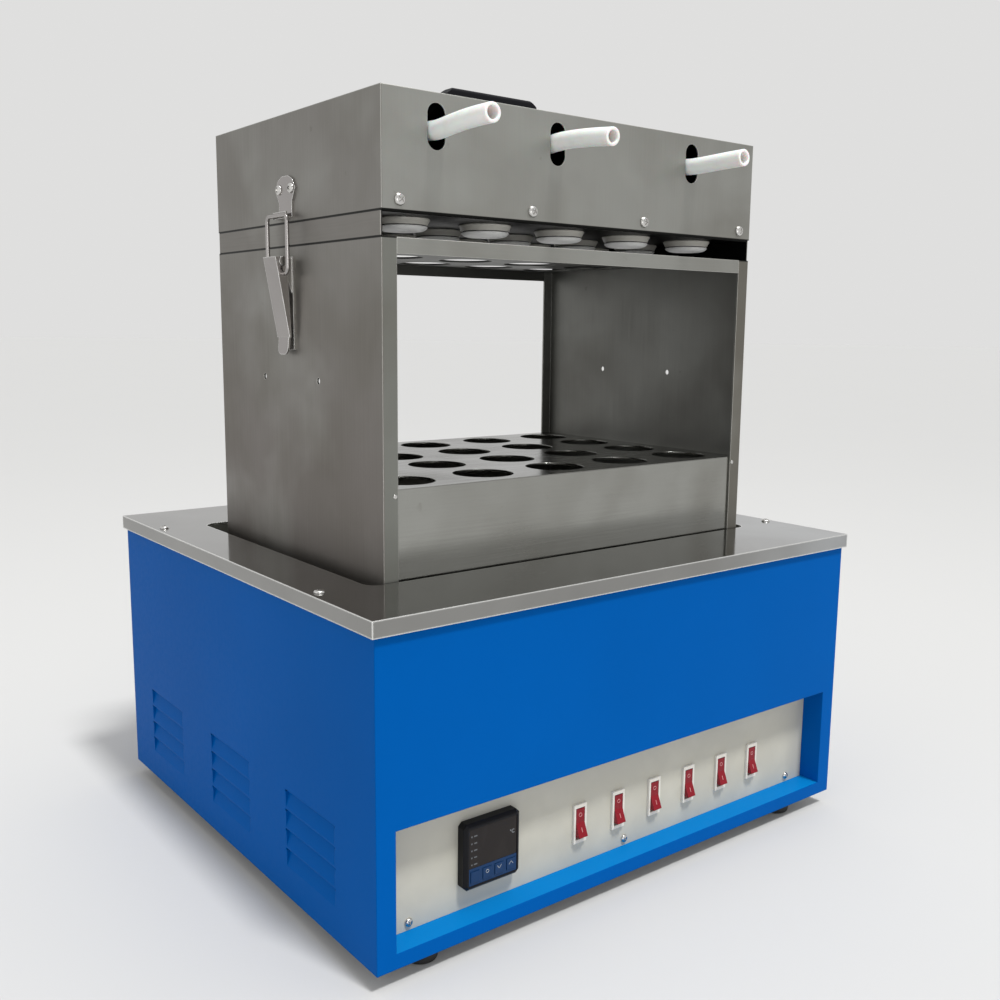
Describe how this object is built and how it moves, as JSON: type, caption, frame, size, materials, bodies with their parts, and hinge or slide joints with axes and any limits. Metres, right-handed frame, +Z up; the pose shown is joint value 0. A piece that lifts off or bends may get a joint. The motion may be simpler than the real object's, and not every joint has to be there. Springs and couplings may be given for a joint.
{
  "type": "block digester",
  "caption": "Benchtop block digester: louvred blue housing with a heating block, a lift-out stainless tube rack and a latched exhaust hood with suction tubes and a grip.",
  "frame": {"origin": "on the bench, under the middle of the housing", "axes": "+Z up, +X to the right along the width, -Y towards the user at the control panel"},
  "size_m": [0.4474, 0.5782, 0.5722],
  "materials": {
    "housing_blue": "satin",
    "stainless": "satin",
    "deck_steel": "polished",
    "panel_grey": "satin",
    "black_plastic": "matte",
    "display": "gloss",
    "key_blue": "satin",
    "frame_grey": "satin",
    "rocker_red": "gloss",
    "black_rubber": "matte",
    "silicone": "satin",
    "white_disc": "satin",
    "cap_grey": "satin",
    "ceramic_fibre": "matte",
    "block_metal": "satin",
    "latch_steel": "polished",
    "screw_steel": "polished",
    "galvanised": "matte",
    "lead_black": "matte"
  },
  "bodies": {
    "base": {"housing_shell": "housing_blue", "rear_cover": "housing_blue", "base_plate": "galvanised", "feet": "black_rubber", "deck_plate": "deck_steel", "deck_screws": "screw_steel", "control_panel": "panel_grey", "panel_screws": "screw_steel", "controller_case": "black_plastic", "controller_window": "display", "controller_keypad": "key_blue", "switch_frames": "frame_grey", "well_liner": "stainless", "insulation": "ceramic_fibre", "heater_plate": "galvanised", "heating_block": "block_metal", "temperature_probe": "stainless", "well_rim": "stainless", "liner_stands": "galvanised", "heat_sink": "block_metal", "relays": "black_plastic", "terminal_block": "black_plastic", "cable_gland": "black_plastic", "mains_lead": "lead_black", "lead_coil": "lead_black", "mains_plug": "lead_black"},
    "rack": {"rack_side_left": "stainless", "rack_side_right": "stainless", "rack_lower_plate": "stainless", "rack_upper_plate": "stainless", "rack_rivets": "screw_steel", "latch_base_left": "latch_steel", "latch_base_right": "latch_steel"},
    "hood": {"hood_cover": "stainless", "cap_tray": "stainless", "tube_caps": "cap_grey", "cap_seals": "white_disc", "fume_plenum": "stainless", "suction_tube_1": "silicone", "suction_tube_2": "silicone", "suction_tube_3": "silicone", "hood_grip": "black_plastic", "hood_screws": "screw_steel", "latch_keeper_left": "latch_steel", "latch_keeper_right": "latch_steel"},
    "latch_lever_left": {"latch_lever_left": "latch_steel"},
    "latch_bail_left": {"latch_bail_left": "latch_steel"},
    "latch_lever_right": {"latch_lever_right": "latch_steel"},
    "latch_bail_right": {"latch_bail_right": "latch_steel"},
    "rocker_1": {"rocker_1": "rocker_red"},
    "rocker_2": {"rocker_2": "rocker_red"},
    "rocker_3": {"rocker_3": "rocker_red"},
    "rocker_4": {"rocker_4": "rocker_red"},
    "rocker_5": {"rocker_5": "rocker_red"},
    "rocker_6": {"rocker_6": "rocker_red"},
    "controller_key_1": {"controller_key_1": "key_blue"},
    "controller_key_2": {"controller_key_2": "key_blue"},
    "controller_key_3": {"controller_key_3": "key_blue"},
    "controller_key_4": {"controller_key_4": "key_blue"}
  },
  "joints": [
    {"name": "rack_lift", "type": "slide", "parent": "base", "child": "rack", "axis": [0, 0, 1], "range_m": [0, 0.18]},
    {"name": "hood_lift", "type": "slide", "parent": "rack", "child": "hood", "axis": [0, 0, 1], "range_m": [0, 0.1]},
    {"name": "latch_left", "type": "hinge", "parent": "rack", "child": "latch_lever_left", "pos_m": [-0.1805, -0.0101, 0.4386], "axis": [0, 1, 0], "range_deg": [0, 105]},
    {"name": "bail_left", "type": "hinge", "parent": "latch_lever_left", "child": "latch_bail_left", "pos_m": [-0.1795, -0.0101, 0.4303], "axis": [0, 1, 0], "range_deg": [-105, 0]},
    {"name": "latch_right", "type": "hinge", "parent": "rack", "child": "latch_lever_right", "pos_m": [0.1805, -0.0101, 0.4386], "axis": [0, -1, 0], "range_deg": [0, 105]},
    {"name": "bail_right", "type": "hinge", "parent": "latch_lever_right", "child": "latch_bail_right", "pos_m": [0.1795, -0.0101, 0.4303], "axis": [0, -1, 0], "range_deg": [-105, 0]},
    {"name": "switch_1", "type": "hinge", "parent": "base", "child": "rocker_1", "pos_m": [-0.045, -0.1832, 0.0524], "axis": [1, 0, 0], "range_deg": [0, 22]},
    {"name": "switch_2", "type": "hinge", "parent": "base", "child": "rocker_2", "pos_m": [-0.008, -0.1832, 0.0524], "axis": [1, 0, 0], "range_deg": [0, 22]},
    {"name": "switch_3", "type": "hinge", "parent": "base", "child": "rocker_3", "pos_m": [0.029, -0.1832, 0.0524], "axis": [1, 0, 0], "range_deg": [0, 22]},
    {"name": "switch_4", "type": "hinge", "parent": "base", "child": "rocker_4", "pos_m": [0.066, -0.1832, 0.0524], "axis": [1, 0, 0], "range_deg": [0, 22]},
    {"name": "switch_5", "type": "hinge", "parent": "base", "child": "rocker_5", "pos_m": [0.103, -0.1832, 0.0524], "axis": [1, 0, 0], "range_deg": [0, 22]},
    {"name": "switch_6", "type": "hinge", "parent": "base", "child": "rocker_6", "pos_m": [0.14, -0.1832, 0.0524], "axis": [1, 0, 0], "range_deg": [0, 22]},
    {"name": "key_1", "type": "slide", "parent": "base", "child": "controller_key_1", "axis": [0, 1, 0], "range_m": [0, 0.0005], "stiffness_N_per_m": 500},
    {"name": "key_2", "type": "slide", "parent": "base", "child": "controller_key_2", "axis": [0, 1, 0], "range_m": [0, 0.0005], "stiffness_N_per_m": 500},
    {"name": "key_3", "type": "slide", "parent": "base", "child": "controller_key_3", "axis": [0, 1, 0], "range_m": [0, 0.0005], "stiffness_N_per_m": 500},
    {"name": "key_4", "type": "slide", "parent": "base", "child": "controller_key_4", "axis": [0, 1, 0], "range_m": [0, 0.0005], "stiffness_N_per_m": 500}
  ],
  "couplings": [
    {"joint": "bail_left", "follows": "latch_left", "ratio": -1},
    {"joint": "bail_right", "follows": "latch_right", "ratio": -1}
  ]
}
